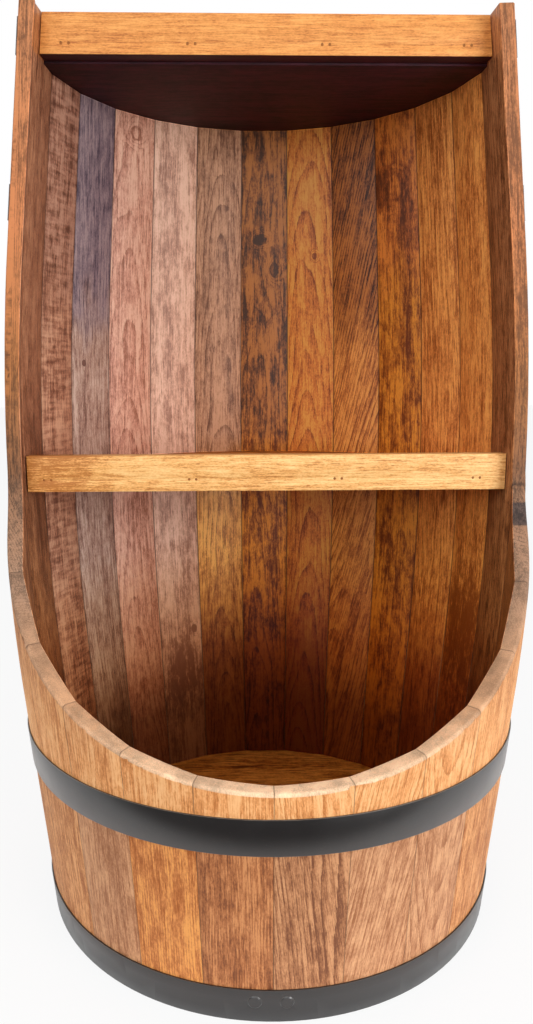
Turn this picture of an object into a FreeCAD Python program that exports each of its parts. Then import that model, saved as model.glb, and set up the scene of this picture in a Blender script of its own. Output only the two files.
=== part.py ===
import FreeCAD, Part
import Sketcher
import math
import os

# Barrel bar cabinet: an oak cask standing on end. Its front is sawn open above a scooped lip, and a
# floor, a shelf and a top board are let into its staves. Millimetres, +Z up. The origin is on the
# cask's axis at the ground, the open front faces -Y, and +X is to the right of someone facing it.

Vector = FreeCAD.Vector
Rotation = FreeCAD.Rotation
Placement = FreeCAD.Placement

DIMENSIONS = [
    # the cask
    ("stave_length", 900.0, "height of the cask"),
    ("end_radius", 237.0, "outside radius at both ends"),
    ("bend_start", 225.0, "the staves are straight for this height at each end"),
    ("bend_rise", 22.8, "growth of the outside radius over each straight end"),
    ("stave_thickness", 16.0, "thickness at the middle of a stave"),
    ("stave_count", 25.0, "staves round the cask"),
    ("joint_angle", -1.3, "first joint, degrees to the right of the front"),
    ("joint_gap", 0.2, "gap between two staves where they begin to bend"),
    # the front opening, laid out on a template wrapped round the cask where its staves begin to bend,
    # and sawn square to its wall
    ("lip_height", 222.0, "height of the lip at the front"),
    ("sweep_radius", 474.0, "radius of the lip's long curve"),
    ("shoulder_radius", 95.0, "radius that turns the lip up into the side cuts"),
    ("side_angle", 85.6, "side cuts, degrees each way from the front"),
    # hoops
    ("hoop_thickness", 1.5, "thickness of the hoops"),
    ("hoop_clearance", 0.2, "air between hoops and staves"),
    ("bottom_hoop_lift", 0.5, "lower edge of the bottom hoop above the ground"),
    ("bottom_hoop_height", 32.5, "height of the bottom hoop"),
    ("lower_hoop_lift", 165.5, "lower edge of the lower hoop above the ground"),
    ("lower_hoop_height", 34.0, "height of the lower hoop"),
    ("upper_hoop_drop", 165.0, "upper edge of the upper hoop below the stave tops"),
    ("upper_hoop_height", 34.0, "height of the upper hoop"),
    ("top_hoop_drop", 13.0, "upper edge of the top hoop below the stave tops"),
    ("top_hoop_height", 34.0, "height of the top hoop"),
    ("hoop_setback", 1.2, "ends of the cut hoops behind the side cuts, degrees"),
    # boards, let into grooves in the staves
    ("seat_depth", 4.0, "depth of the grooves at the middle of a stave"),
    ("seat_clearance", 0.2, "air round a board in its groove"),
    ("floor_lift", 6.0, "underside of the floor above the ground"),
    ("floor_thickness", 12.0, "thickness of the floor"),
    ("floor_board_count", 4.0, "boards of the floor"),
    ("floor_gap", 0.3, "gap between two floor boards"),
    ("board_thickness", 22.0, "thickness of the shelf and of the top board"),
    ("board_drop", 2.0, "undersides of shelf and top board below their rails"),
    # rails, nailed to the front edges of shelf and top board
    ("rail_front", 5.0, "front face of the top rail behind the cask's axis"),
    ("shelf_rail_reach", 10.0, "front face of the shelf rail in front of the top rail's"),
    ("rail_thickness", 18.0, "thickness of the rails"),
    ("rail_height", 38.0, "height of the rails"),
    ("rail_gap", 0.8, "air between a rail's ends and the staves"),
    ("shelf_rail_lift", 428.0, "underside of the shelf rail above the ground"),
    ("top_rail_drop", 1.0, "upper face of the top rail below the stave tops"),
    # brads, in pairs through the rails into the boards
    ("brad_shank_radius", 0.8, "shank of a brad"),
    ("brad_head_radius", 1.4, "head of a brad"),
    ("brad_head_height", 1.0, "height of a brad's head"),
    ("brad_length", 36.0, "length of a brad under its head"),
    ("brad_sink", 0.3, "heads of the brads below the rails' faces"),
    ("brad_spacing", 7.5, "distance between the two brads of a pair"),
    ("brad_clearance", 0.05, "air round a brad"),
    ("top_brad_lift", 10.0, "brads above the top rail's underside"),
    ("top_brad_left_end", 24.0, "left end pair from the top rail's end"),
    ("top_brad_left", 75.0, "left inner pair from the top rail's middle"),
    ("top_brad_right", 58.0, "right inner pair from the top rail's middle"),
    ("top_brad_right_end", 24.0, "right end pair from the top rail's end"),
    ("shelf_brad_lift", 12.5, "brads above the shelf rail's underside"),
    ("shelf_brad_left_end", 21.0, "left end pair from the shelf rail's end"),
    ("shelf_brad_left", 80.0, "left inner pair from the shelf rail's middle"),
    ("shelf_brad_right", 75.0, "right inner pair from the shelf rail's middle"),
    ("shelf_brad_right_end", 31.0, "right end pair from the shelf rail's end"),
    # rivets of the bottom hoop
    ("rivet_head_radius", 6.5, "head of a rivet"),
    ("rivet_crown_radius", 5.2, "flat crown of a rivet's head"),
    ("rivet_head_height", 0.9, "height of a rivet's head"),
    ("rivet_shank_radius", 2.5, "shank of a rivet"),
    ("rivet_clearance", 0.05, "air round a rivet's shank"),
    ("rivet_lift", 21.0, "rivets above the ground"),
    ("rivet_angle", -1.8, "middle of the two rivets, degrees to the right of the front"),
    ("rivet_spacing", 27.5, "distance between the two rivets, along the hoop"),
    # nails that hold the ends of the two cut hoops
    ("nail_head_radius", 4.0, "head of a hoop nail"),
    ("nail_crown_radius", 2.6, "flat crown of a hoop nail's head"),
    ("nail_head_height", 1.2, "height of a hoop nail's head"),
    ("nail_shank_radius", 1.4, "shank of a hoop nail"),
    ("nail_reach", 9.0, "depth of a hoop nail in the wood"),
    ("nail_clearance", 0.05, "air round a hoop nail"),
    ("nail_inset", 18.0, "outer hoop nails from the hoops' ends, along the hoop"),
    ("nail_spacing", 26.0, "inner hoop nails behind the outer ones, along the hoop"),
]

DOC = FreeCAD.newDocument("BarrelBarCabinet")
SIZES = DOC.addObject("Spreadsheet::Sheet", "Sizes")
for row, (alias, number, meaning) in enumerate(DIMENSIONS, start=1):
    SIZES.set(f"A{row}", meaning)
    SIZES.set(f"B{row}", str(number))
    SIZES.setAlias(f"B{row}", alias)
DOC.recompute()

# Expressions that several pieces share. The outside radius grows by TAPER for each millimetre from a
# stave's end, up to BEND_RADIUS where the bend starts.
TAPER = "Sizes.bend_rise / Sizes.bend_start"
BEND_RADIUS = "(Sizes.end_radius + Sizes.bend_rise)"
HIGH_BEND = "Sizes.stave_length - Sizes.bend_start"
RAIL_FRONTS = {"top": "Sizes.rail_front", "shelf": "Sizes.rail_front - Sizes.shelf_rail_reach"}
RAIL_BACKS = {prefix: f"{front} + Sizes.rail_thickness" for prefix, front in RAIL_FRONTS.items()}
TOP_RAIL_LIFT = "Sizes.stave_length - Sizes.top_rail_drop - Sizes.rail_height"
SHELF_LIFT = "Sizes.shelf_rail_lift - Sizes.board_drop"
TOP_LIFT = f"{TOP_RAIL_LIFT} - Sizes.board_drop"
REACH = f"2 * {BEND_RADIUS}"

STAVE_COUNT = round(float(SIZES.stave_count))
FLOOR_BOARD_COUNT = round(float(SIZES.floor_board_count))

# The tool that saws the opening: its edge has this many stations on each curve, runs this far past
# the wood, and leans forward by this much per millimetre of height as it leaves the lip.
SWEEP_STEPS = 6
SHOULDER_STEPS = 4
SAW_MARGIN = 50.0
SAW_LEAN = 0.1
DRILL_MARGIN = 4.0

SUBPARTS = []


def size(alias):
    """Number in one cell of the sheet."""
    return float(getattr(SIZES, alias))


def value(expression):
    """Number that an expression gives now."""
    result = SIZES.evalExpression(expression)
    return float(getattr(result, "Value", result))


def bind(obj, **expressions):
    """Ties an object's properties to the sheet."""
    for name, expression in expressions.items():
        obj.setExpression(name, expression)
    return obj


def place_at(obj, x=None, y=None, z=None):
    """Ties an object's position to the sheet."""
    for axis, expression in (("x", x), ("y", y), ("z", z)):
        if expression is not None:
            obj.setExpression(f"Placement.Base.{axis}", expression)
    return obj


def subpart(obj, label):
    """Marks an object as a finished sub-part under its own label."""
    obj.Label = label
    SUBPARTS.append(obj)
    return obj


def boolean(kind, name, base, tool):
    """Part::Cut or Part::Common of two objects."""
    result = DOC.addObject(kind, name)
    result.Base = base
    result.Tool = tool
    return result


def group(name, members):
    result = DOC.addObject("Part::Compound", name)
    result.Links = members
    return result


def outside_radius(height):
    """Outside radius of the cask at a height: two cones joined by a tangent bend."""
    from_end = min(height, size("stave_length") - height)
    if from_end <= size("bend_start"):
        return size("end_radius") + value(TAPER) * from_end
    slope = math.atan(value(TAPER))
    half_bend = size("stave_length") / 2 - size("bend_start")
    bend = half_bend / math.sin(slope)
    centre = value(BEND_RADIUS) - bend * math.cos(slope)
    return centre + math.sqrt(bend ** 2 - (size("stave_length") / 2 - height) ** 2)


# --- sketches ----------------------------------------------------------------------------------

def new_sketch(body, name):
    """Sketch on a body's own XZ plane: its X is the distance from the axis, its Y the height."""
    plane = next(item for item in body.Origin.OriginFeatures if item.Role == "XZ_Plane")
    sketch = body.newObject("Sketcher::SketchObject", name)
    sketch.AttachmentSupport = [(plane, "")]
    sketch.MapMode = "FlatFace"
    return sketch


def pin_point(sketch, edge, across, up):
    """Ties an edge's start to two expressions, where None stands for the sketch's own axis."""
    for kind, axis, expression in (("DistanceX", -2, across), ("DistanceY", -1, up)):
        if expression is None:
            sketch.addConstraint(Sketcher.Constraint("PointOnObject", edge, 1, axis))
        else:
            rule = Sketcher.Constraint(kind, -1, 1, edge, 1, value(expression))
            index = sketch.addConstraint(rule)
            sketch.setExpression(f"Constraints[{index}]", expression)


def draw_outline(sketch, corners, bent_edge=None):
    """Closed outline through corners given as (across, up) expressions.

    One edge may be bent: it is an arc that leaves the edge before it without a kink.
    """
    points = [Vector(value(across or "0"), value(up or "0"), 0) for across, up in corners]
    count = len(points)
    for index, start in enumerate(points):
        end = points[(index + 1) % count]
        edge = Part.LineSegment(start, end)
        if index == bent_edge:
            bulge = Vector(outside_radius(size("stave_length") / 2) - value(BEND_RADIUS), 0, 0)
            edge = Part.Arc(start, (start + end) / 2 + bulge, end)
        sketch.addGeometry(edge)
    for index in range(count):
        following = (index + 1) % count
        kind = "Tangent" if following == bent_edge else "Coincident"
        sketch.addConstraint(Sketcher.Constraint(kind, index, 2, following, 1))
    for index, (across, up) in enumerate(corners):
        pin_point(sketch, index, across, up)


def draw_cask_section(sketch, shift, back):
    """Section between the cask's outside, moved out by `shift`, and a straight line at `back`."""
    end = f"Sizes.end_radius + {shift}"
    bend = f"{BEND_RADIUS} + {shift}"
    corners = [
        (end, None),
        (bend, "Sizes.bend_start"),
        (bend, HIGH_BEND),
        (end, "Sizes.stave_length"),
        (back, "Sizes.stave_length"),
        (back, None),
    ]
    draw_outline(sketch, corners, bent_edge=1)


def revolve(body, sketch, name, angle="360"):
    """Turns a sketch about the body's Z axis, as far on one side of +X as on the other."""
    turned = body.newObject("PartDesign::Revolution", name)
    turned.Profile = sketch
    turned.ReferenceAxis = (sketch, ["V_Axis"])
    turned.Midplane = True
    return bind(turned, Angle=angle)


# --- helpers inside the cask --------------------------------------------------------------------

def inner_space(name, shift):
    """What the staves leave free inside, grown by `shift` on all sides."""
    body = DOC.addObject("PartDesign::Body", name)
    sketch = new_sketch(body, f"{name}_section")
    draw_cask_section(sketch, f"({shift} - Sizes.stave_thickness)", None)
    revolve(body, sketch, f"{name}_turned")
    return body


def slab(name, space, front, depth, base, thickness):
    """Board that runs across the cask and is trimmed round by a space."""
    block = DOC.addObject("Part::Box", f"{name}_block")
    bind(block, Length=f"2 * {REACH}", Width=depth, Height=thickness)
    place_at(block, x=f"-{REACH}", y=front, z=base)
    return boolean("Part::Common", f"{name}_trimmed", block, space)


def template_edge():
    """Right half of the opening's edge on its template, from the middle of the lip to the top.

    Each station is a distance round from the front, a height and a slope in radians.
    """
    lip = size("lip_height")
    sweep = size("sweep_radius")
    shoulder = size("shoulder_radius")
    side = value(BEND_RADIUS) * math.radians(size("side_angle"))
    turn = math.asin((side - shoulder) / (sweep - shoulder))
    shoulder_centre = lip + sweep - (sweep - shoulder) * math.cos(turn)
    stations = []
    for step in range(SWEEP_STEPS + 1):
        slope = turn * step / SWEEP_STEPS
        stations.append((sweep * math.sin(slope), lip + sweep * (1 - math.cos(slope)), slope))
    for step in range(1, SHOULDER_STEPS + 1):
        slope = turn + (math.pi / 2 - turn) * step / SHOULDER_STEPS
        across = side + shoulder * (math.sin(slope) - 1)
        stations.append((across, shoulder_centre - shoulder * math.cos(slope), slope))
    stations.append((side, size("stave_length") + SAW_MARGIN, math.pi / 2))
    return stations


def wrapped_edge(radius):
    """The opening's whole edge at one radius from the axis, from the top left to the top right."""
    right = template_edge()
    left = [(-across, height, -slope) for across, height, slope in reversed(right[1:])]
    points = []
    tangents = []
    lengths = [0.0]
    template_radius = value(BEND_RADIUS)
    stations = left + right
    for across, height, slope in stations:
        angle = across / template_radius
        round_rate = math.cos(slope) * radius / template_radius
        points.append(Vector(radius * math.sin(angle), -radius * math.cos(angle), height))
        tangents.append(Vector(round_rate * math.cos(angle), round_rate * math.sin(angle), math.sin(slope)))
    for first, second in zip(stations, stations[1:]):
        lengths.append(lengths[-1] + math.dist(first[:2], second[:2]))
    curve = Part.BSplineCurve()
    curve.interpolate(
        Points=points, Parameters=lengths, Tangents=tangents, TangentFlags=[True] * len(points)
    )
    return curve.toShape()


def sawn_opening():
    """Block that saws the opening out of the front staves, square to their wall."""
    inner = wrapped_edge(size("end_radius") / 2)
    outer = wrapped_edge(value(BEND_RADIUS) + SAW_MARGIN)
    kerf = Part.makeRuledSurface(inner, outer)
    tall = size("stave_length")
    opening = DOC.addObject("Part::Feature", "opening")
    opening.Shape = kerf.extrude(Vector(0, -SAW_LEAN * tall, tall))
    return opening


def board_seats():
    """Grooves for the floor all round, and for shelf and top board behind the rails."""
    space = inner_space("seat_space", "(Sizes.seat_depth + Sizes.seat_clearance)")
    tall = "Sizes.board_thickness + 2 * Sizes.seat_clearance"
    lifts = {"shelf": SHELF_LIFT, "top": TOP_LIFT}
    return [
        slab(
            "floor_seat", space, f"-{REACH}", f"2 * {REACH}",
            "Sizes.floor_lift - Sizes.seat_clearance",
            "Sizes.floor_thickness + 2 * Sizes.seat_clearance",
        ),
        *(
            slab(
                f"{prefix}_seat", space, f"{RAIL_BACKS[prefix]} - Sizes.seat_clearance", REACH,
                f"{lift} - Sizes.seat_clearance", tall,
            )
            for prefix, lift in lifts.items()
        ),
    ]


# --- rivets, nails and brads --------------------------------------------------------------------

def headed_pin(name, shank, reach, head, crown, height):
    """Pin along +Z with its tip at the origin and a head that narrows to a flat crown."""
    body = DOC.addObject("PartDesign::Body", name)
    sketch = new_sketch(body, f"{name}_section")
    top = f"{reach} + {height}"
    corners = [(None, None), (shank, None), (shank, reach), (head, reach), (crown, top), (None, top)]
    draw_outline(sketch, corners)
    revolve(body, sketch, f"{name}_turned")
    return body


def drill(name, radius, length):
    tool = DOC.addObject("Part::Cylinder", name)
    return bind(tool, Radius=radius, Height=length)


def square_to_hoop(angle, height, depth):
    """Frame whose +Z leaves a hoop square to its face, `depth` below the face.

    The angle is in degrees to the right of the front. The hoops lean with the ends of the staves.
    """
    lean = math.degrees(math.atan(value(TAPER)))
    if height > size("stave_length") / 2:
        lean = -lean
    turned = Rotation(Vector(0, 0, 1), angle) * Rotation(Vector(1, 0, 0), 90 + lean)
    face = outside_radius(height) + size("hoop_clearance") + size("hoop_thickness")
    point = Rotation(Vector(0, 0, 1), angle).multVec(Vector(0, -face, height))
    return Placement(point - turned.multVec(Vector(0, 0, depth)), turned)


def rivets():
    """The two rivets that close the bottom hoop, and the drills for their holes."""
    half_angle = math.degrees(size("rivet_spacing") / 2 / outside_radius(size("rivet_lift")))
    pins = []
    drills = []
    for index, side in enumerate((-1, 1), start=1):
        angle = size("rivet_angle") + side * half_angle
        pin = headed_pin(
            f"rivet_{index}", "Sizes.rivet_shank_radius", "Sizes.hoop_thickness",
            "Sizes.rivet_head_radius", "Sizes.rivet_crown_radius", "Sizes.rivet_head_height",
        )
        pin.Placement = square_to_hoop(angle, size("rivet_lift"), size("hoop_thickness"))
        tool = drill(
            f"rivet_drill_{index}", "Sizes.rivet_shank_radius + Sizes.rivet_clearance",
            f"Sizes.hoop_thickness + 2 * {DRILL_MARGIN}",
        )
        tool.Placement = square_to_hoop(angle, size("rivet_lift"), size("hoop_thickness") + DRILL_MARGIN)
        pins.append(pin)
        drills.append(tool)
    subpart(group("bottom_hoop_rivets", pins), "bottom_hoop_rivets")
    return group("rivet_drills", drills)


def nail_angles(height):
    """Angles of the nails in a cut hoop at a height, two near each of its ends."""
    end = size("side_angle") + size("hoop_setback")
    lengths = [size("nail_inset"), size("nail_inset") + size("nail_spacing")]
    steps = [math.degrees(length / outside_radius(height)) for length in lengths]
    return [side * (end + step) for side in (-1, 1) for step in steps]


def hoop_nails():
    """Nails through both ends of the two cut hoops into the staves, and the drills for them."""
    reach = "Sizes.hoop_thickness + Sizes.hoop_clearance + Sizes.nail_reach"
    heights = [
        size("stave_length") - size("upper_hoop_drop") - size("upper_hoop_height") / 2,
        size("stave_length") - size("top_hoop_drop") - size("top_hoop_height") / 2,
    ]
    pins = []
    drills = []
    for height in heights:
        for angle in nail_angles(height):
            number = len(pins) + 1
            pin = headed_pin(
                f"hoop_nail_{number}", "Sizes.nail_shank_radius", reach,
                "Sizes.nail_head_radius", "Sizes.nail_crown_radius", "Sizes.nail_head_height",
            )
            pin.Placement = square_to_hoop(angle, height, value(reach))
            tool = drill(
                f"nail_drill_{number}", "Sizes.nail_shank_radius + Sizes.nail_clearance",
                f"{reach} + Sizes.nail_clearance + {DRILL_MARGIN}",
            )
            tool.Placement = square_to_hoop(angle, height, value(reach) + size("nail_clearance"))
            pins.append(pin)
            drills.append(tool)
    subpart(group("hoop_nails", pins), "hoop_nails")
    return group("nail_drills", drills)


def brads(rail, front, lift, pair_places):
    """Pairs of brads through a rail into the board behind it, and the drills for them."""
    depth = value(front) + size("brad_sink") + value("Sizes.brad_length + Sizes.brad_head_height")
    drill_shank = "Sizes.brad_shank_radius + Sizes.brad_clearance"
    drill_head = "Sizes.brad_head_radius + Sizes.brad_clearance"
    pins = []
    drills = []
    for middle in pair_places:
        for side in (-1, 1):
            across = middle + side * size("brad_spacing") / 2
            number = len(pins) + 1
            pin = headed_pin(
                f"{rail}_brad_{number}", "Sizes.brad_shank_radius", "Sizes.brad_length",
                "Sizes.brad_head_radius", "Sizes.brad_head_radius", "Sizes.brad_head_height",
            )
            tool = headed_pin(
                f"{rail}_brad_drill_{number}", drill_shank, "Sizes.brad_length",
                drill_head, drill_head, f"Sizes.brad_head_height + {DRILL_MARGIN}",
            )
            for item in (pin, tool):
                item.Placement = Placement(Vector(across, depth, lift), Rotation(Vector(1, 0, 0), 90))
            pins.append(pin)
            drills.append(tool)
    subpart(group(f"{rail}_brads", pins), f"{rail}_brads")
    return group(f"{rail}_brad_drills", drills)


# --- the cask ------------------------------------------------------------------------------------

def stave(number, tools):
    """One stave: round outside, flat inside, with its grooves, nail holes and sawn edge."""
    name = f"stave_{number:02d}"
    body = DOC.addObject("PartDesign::Body", f"{name}_blank")
    section = new_sketch(body, f"{name}_section")
    draw_cask_section(section, "0", "Sizes.end_radius - 3 * Sizes.stave_thickness")
    gap_angle = f"Sizes.joint_gap / {BEND_RADIUS} * 180 / pi"
    revolve(body, section, f"{name}_turned", f"360 / Sizes.stave_count - {gap_angle}")
    inside = new_sketch(body, f"{name}_inside")
    draw_cask_section(inside, "(0 - Sizes.stave_thickness)", None)
    planed = body.newObject("PartDesign::Pocket", f"{name}_planed")
    planed.Profile = inside
    planed.Type = "ThroughAll"
    planed.Midplane = True
    middle = size("joint_angle") + (number - 0.5) * 360 / STAVE_COUNT
    body.Placement = Placement(Vector(), Rotation(Vector(0, 0, 1), middle - 90))
    subpart(boolean("Part::Cut", name, body, tools), name)


def hoop(name, low, low_from_end, high, high_from_end, angle="360", drills=None):
    """Flat steel band that lies on the staves.

    The edges' heights and their distances from the nearer end of the staves are expressions.
    """
    blank_name = f"{name}_blank" if drills else name
    body = DOC.addObject("PartDesign::Body", blank_name)
    sketch = new_sketch(body, f"{name}_section")
    low_radius = f"Sizes.end_radius + Sizes.hoop_clearance + {TAPER} * ({low_from_end})"
    high_radius = f"Sizes.end_radius + Sizes.hoop_clearance + {TAPER} * ({high_from_end})"
    corners = [
        (low_radius, low),
        (f"{low_radius} + Sizes.hoop_thickness", low),
        (f"{high_radius} + Sizes.hoop_thickness", high),
        (high_radius, high),
    ]
    draw_outline(sketch, corners)
    revolve(body, sketch, f"{name}_turned", angle)
    body.Placement = Placement(Vector(), Rotation(Vector(0, 0, 1), 90))
    subpart(boolean("Part::Cut", name, body, drills) if drills else body, name)


def hoops(rivet_drills, nail_drills):
    """Two whole hoops below the lip, and two that were cut with the opening."""
    for name, drills in (("bottom_hoop", rivet_drills), ("lower_hoop", None)):
        low = f"Sizes.{name}_lift"
        high = f"{low} + Sizes.{name}_height"
        hoop(name, low, low, high, high, drills=drills)
    behind = "360 - 2 * (Sizes.side_angle + Sizes.hoop_setback)"
    for name in ("upper_hoop", "top_hoop"):
        high_drop = f"Sizes.{name}_drop"
        low_drop = f"{high_drop} + Sizes.{name}_height"
        low = f"Sizes.stave_length - ({low_drop})"
        high = f"Sizes.stave_length - {high_drop}"
        hoop(name, low, low_drop, high, high_drop, angle=behind, drills=nail_drills)


# --- the fittings -----------------------------------------------------------------------------------

def floor_boards(space):
    """Boards side by side from front to back, with their grain across the cask."""
    floor_top = "(Sizes.floor_lift + Sizes.floor_thickness)"
    reach = f"(Sizes.end_radius + {TAPER} * {floor_top} - Sizes.stave_thickness + Sizes.seat_depth)"
    pitch = f"2 * {reach} / Sizes.floor_board_count"
    for index in range(FLOOR_BOARD_COUNT):
        name = f"floor_board_{index + 1}"
        front = f"{index} * {pitch} - {reach} + Sizes.floor_gap / 2"
        board = slab(name, space, front, f"{pitch} - Sizes.floor_gap", "Sizes.floor_lift", "Sizes.floor_thickness")
        subpart(board, name)


def pair_places(rail, lift):
    """Where a rail's pairs of brads are, to the right of its middle."""
    end = outside_radius(lift) - size("stave_thickness") - size("rail_gap")
    return (
        size(f"{rail}_brad_left_end") - end,
        -size(f"{rail}_brad_left"),
        size(f"{rail}_brad_right"),
        end - size(f"{rail}_brad_right_end"),
    )


def shelf_and_rail(prefix, rail_lift, board_lift, board_space, rail_space):
    """A board let into the rear staves and the rail nailed to its front edge."""
    front = RAIL_FRONTS[prefix]
    back = RAIL_BACKS[prefix]
    lift = value(rail_lift) + size(f"{prefix}_brad_lift")
    drills = brads(f"{prefix}_rail", front, lift, pair_places(prefix, lift))
    rail = slab(f"{prefix}_rail", rail_space, front, "Sizes.rail_thickness", rail_lift, "Sizes.rail_height")
    board = slab(f"{prefix}_board", board_space, back, REACH, board_lift, "Sizes.board_thickness")
    subpart(boolean("Part::Cut", f"{prefix}_rail", rail, drills), f"{prefix}_rail")
    subpart(boolean("Part::Cut", f"{prefix}_board", board, drills), f"{prefix}_board")


def build():
    rivet_drills = rivets()
    nail_drills = hoop_nails()
    tools = group("stave_tools", [sawn_opening(), *board_seats(), nail_drills])
    for number in range(1, STAVE_COUNT + 1):
        stave(number, tools)
    hoops(rivet_drills, nail_drills)
    board_space = inner_space("board_space", "Sizes.seat_depth")
    rail_space = inner_space("rail_space", "(0 - Sizes.rail_gap)")
    floor_boards(board_space)
    shelf_and_rail("shelf", "Sizes.shelf_rail_lift", SHELF_LIFT, board_space, rail_space)
    shelf_and_rail("top", TOP_RAIL_LIFT, TOP_LIFT, board_space, rail_space)
    DOC.recompute()


def check():
    """Stops before anything is written if an object failed or a sub-part isn't a sound solid."""
    failed = [item.Name for item in DOC.Objects if "Invalid" in item.State or "Error" in item.State]
    if failed:
        raise RuntimeError(f"not recomputed: {failed}")
    for item in SUBPARTS:
        if item.Shape.isNull() or not item.Shape.isValid() or not item.Shape.Solids:
            raise RuntimeError(f"no sound solid: {item.Label}")


def export():
    os.makedirs("parts", exist_ok=True)
    for item in SUBPARTS:
        item.Shape.exportStep(os.path.join("parts", f"{item.Label}.step"))
        print(f"{item.Label}: {len(item.Shape.Solids)} solids, {item.Shape.Volume / 1000:.2f} cm3")


build()
check()
export()
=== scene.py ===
"""Looks of a barrel bar cabinet: an oak cask on end, its front sawn open, with floor, shelf and rails."""

import logging
import math
from dataclasses import dataclass, field
from enum import Enum

import bmesh
import bpy
from mathutils import Matrix, Vector


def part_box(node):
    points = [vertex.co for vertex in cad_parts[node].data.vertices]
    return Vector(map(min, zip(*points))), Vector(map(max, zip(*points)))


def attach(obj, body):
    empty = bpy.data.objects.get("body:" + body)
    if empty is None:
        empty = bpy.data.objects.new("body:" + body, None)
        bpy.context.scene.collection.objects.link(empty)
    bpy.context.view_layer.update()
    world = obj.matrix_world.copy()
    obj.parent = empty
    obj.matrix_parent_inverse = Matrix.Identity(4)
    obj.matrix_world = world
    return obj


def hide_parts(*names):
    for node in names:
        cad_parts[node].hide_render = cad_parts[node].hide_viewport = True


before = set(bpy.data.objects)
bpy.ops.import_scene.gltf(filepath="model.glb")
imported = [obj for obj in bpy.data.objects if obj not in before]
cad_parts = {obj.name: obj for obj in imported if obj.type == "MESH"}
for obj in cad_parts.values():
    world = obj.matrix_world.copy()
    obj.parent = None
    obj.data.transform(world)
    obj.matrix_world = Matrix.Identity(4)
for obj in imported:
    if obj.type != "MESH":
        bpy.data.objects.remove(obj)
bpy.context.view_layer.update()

log = logging.getLogger("barrel_bar_cabinet")

MM = 0.001
IMAGE_WIDTH = 533
IMAGE_HEIGHT = 1024
SENSOR = 36.0
SHARP = math.radians(35)
SMOOTH = math.radians(32)
FLAT = math.radians(0.4)
MERGE = 0.002
WHITE = "#ffffff"


def linear(colour: str, alpha: float = 1.0) -> tuple[float, float, float, float]:
    """Turns an sRGB hex colour to linear light.

    Args:
        colour: The colour as #rrggbb.
        alpha: Opacity.

    Returns:
        Red, green, blue and alpha.
    """
    parts = [int(colour[start:start + 2], 16) / 255 for start in (1, 3, 5)]
    red, green, blue = (
        part / 12.92 if part <= 0.04045 else ((part + 0.055) / 1.055) ** 2.4 for part in parts
    )
    return red, green, blue, alpha


def add_node(tree: bpy.types.NodeTree, kind: str, inputs: dict | None = None, **settings) -> bpy.types.Node:
    """Adds a node with its settings and its inputs.

    Args:
        tree: The tree that gets the node.
        kind: Blender's name for the node.
        inputs: For each input socket, a value or the output socket that feeds it.
        settings: The node's own properties.

    Returns:
        The new node.
    """
    node = tree.nodes.new(kind)
    for name, value in settings.items():
        setattr(node, name, value)
    for key, value in (inputs or {}).items():
        if isinstance(value, bpy.types.NodeSocket):
            tree.links.new(value, node.inputs[key])
        else:
            node.inputs[key].default_value = value
    return node


def new_material(name: str) -> tuple[bpy.types.Material, bpy.types.NodeTree, bpy.types.Node]:
    """Makes an empty material.

    Args:
        name: The material's name.

    Returns:
        The material, its node tree and its output node.
    """
    material = bpy.data.materials.new(name)
    material.use_nodes = True
    tree = material.node_tree
    tree.nodes.clear()
    return material, tree, add_node(tree, "ShaderNodeOutputMaterial")


# --- wood ------------------------------------------------------------------------------------------


@dataclass(frozen=True)
class Tones:
    """Three tones of one wood: its dark grain, its ground and its palest streaks."""

    deep: str
    ground: str
    pale: str

    def colour(self, tree: bpy.types.NodeTree, grain: bpy.types.NodeSocket) -> bpy.types.NodeSocket:
        """Colours a grain value.

        Args:
            tree: The material's tree.
            grain: 0 in the darkest grain, 1 in the palest.

        Returns:
            The colour's socket.
        """
        ramp = add_node(tree, "ShaderNodeValToRGB", {"Fac": grain})
        stops = ramp.color_ramp.elements
        stops[0].position, stops[0].color = 0.1, linear(self.deep)
        stops[1].position, stops[1].color = 0.9, linear(self.pale)
        stops.new(0.5).color = linear(self.ground)
        return ramp.outputs["Color"]


class Stain(Enum):
    """Tones that old oak staves have taken from stain, wine and varnish, some of them with a painted sheen.
    """

    CHESTNUT_ROSE = Tones("#633926", "#9e664a", "#c38b6a")
    MAUVE = Tones("#633d2e", "#9e6d58", "#c3947d")
    ROSE_BROWN = Tones("#774a39", "#b27d63", "#d4a486")
    # These four tones of the left staves are paler and greyer from a painted sheen over the stain.
    DUSTY_ROSE_SHEEN = Tones("#735147", "#ac897a", "#cdb3a4")
    SLATE_SHEEN = Tones("#473b4a", "#7e6a73", "#a28c8e")
    ROSE_SHEEN = Tones("#925c46", "#cd927c", "#e6b79e")
    PALE_ROSE_SHEEN = Tones("#9a6b56", "#cf9e85", "#e9bea5")
    TAN = Tones("#683c22", "#a57253", "#c69270")
    DARK_OAK = Tones("#41220d", "#7e461d", "#b16d32")
    ORANGE = Tones("#80390c", "#cf752d", "#df9b43")
    WALNUT = Tones("#3f1a05", "#935020", "#c07332")
    CHESTNUT = Tones("#723307", "#bc6c23", "#e89634")
    AMBER = Tones("#924c1c", "#da8543", "#feaf5d")
    GINGER = Tones("#864517", "#c9793a", "#eaa051")
    HONEY = Tones("#925524", "#da9352", "#fec171")
    UMBER = Tones("#492513", "#905836", "#ba7d52")
    OILED_HONEY = Tones("#9c592f", "#c2814e", "#e4a56e")
    OILED_AMBER = Tones("#a35a26", "#ca7e45", "#eba157")
    OILED_BROWN = Tones("#784426", "#ac6a3f", "#cf8d5a")
    OILED_DRIFT = Tones("#78482e", "#a9714b", "#cd9468")
    OILED_STRAW = Tones("#9a613c", "#bc845d", "#d8a175")
    RUSSET = Tones("#643011", "#af5a24", "#e68a3a")
    GOLDEN = Tones("#be763d", "#e8a062", "#f8be83")


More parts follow.
